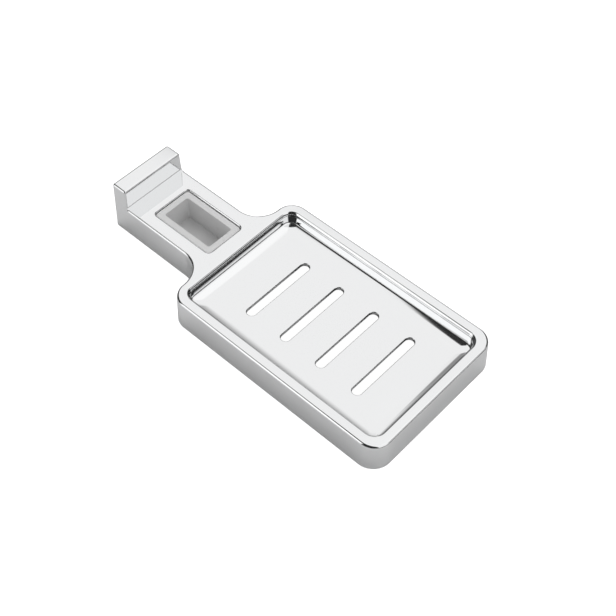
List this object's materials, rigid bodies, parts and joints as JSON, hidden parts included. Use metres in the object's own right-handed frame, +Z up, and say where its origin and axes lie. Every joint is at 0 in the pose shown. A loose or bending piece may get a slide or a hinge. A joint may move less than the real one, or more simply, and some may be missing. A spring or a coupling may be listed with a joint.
{
  "type": "soap dish",
  "caption": "Rectangular slotted soap dish on a socket neck with an upstand, chrome plated, with a grey liner in the blind socket that takes a flat rail.",
  "frame": {"origin": "centre of the bounding box in plan, on the plane that the open underside rests on", "axes": "+X from the upstand at the wall end to the front edge of the dish, +Z up; the part mirrors itself across the plane of X and Z"},
  "size_m": [0.2116, 0.0932, 0.0313],
  "materials": {
    "chrome_plate": "polished chrome plate on a die-cast body",
    "chrome_tray": "polished chrome plate on a die-cast tray",
    "liner_plastic": "fine matte grey moulding",
    "screw_steel": "plain stainless steel"
  },
  "bodies": {
    "root": {"dish_body": "chrome_plate", "soap_tray": "chrome_tray", "socket_liner": "liner_plastic", "tray_screw_rear": "screw_steel", "tray_screw_front": "screw_steel"}
  },
  "joints": []
}
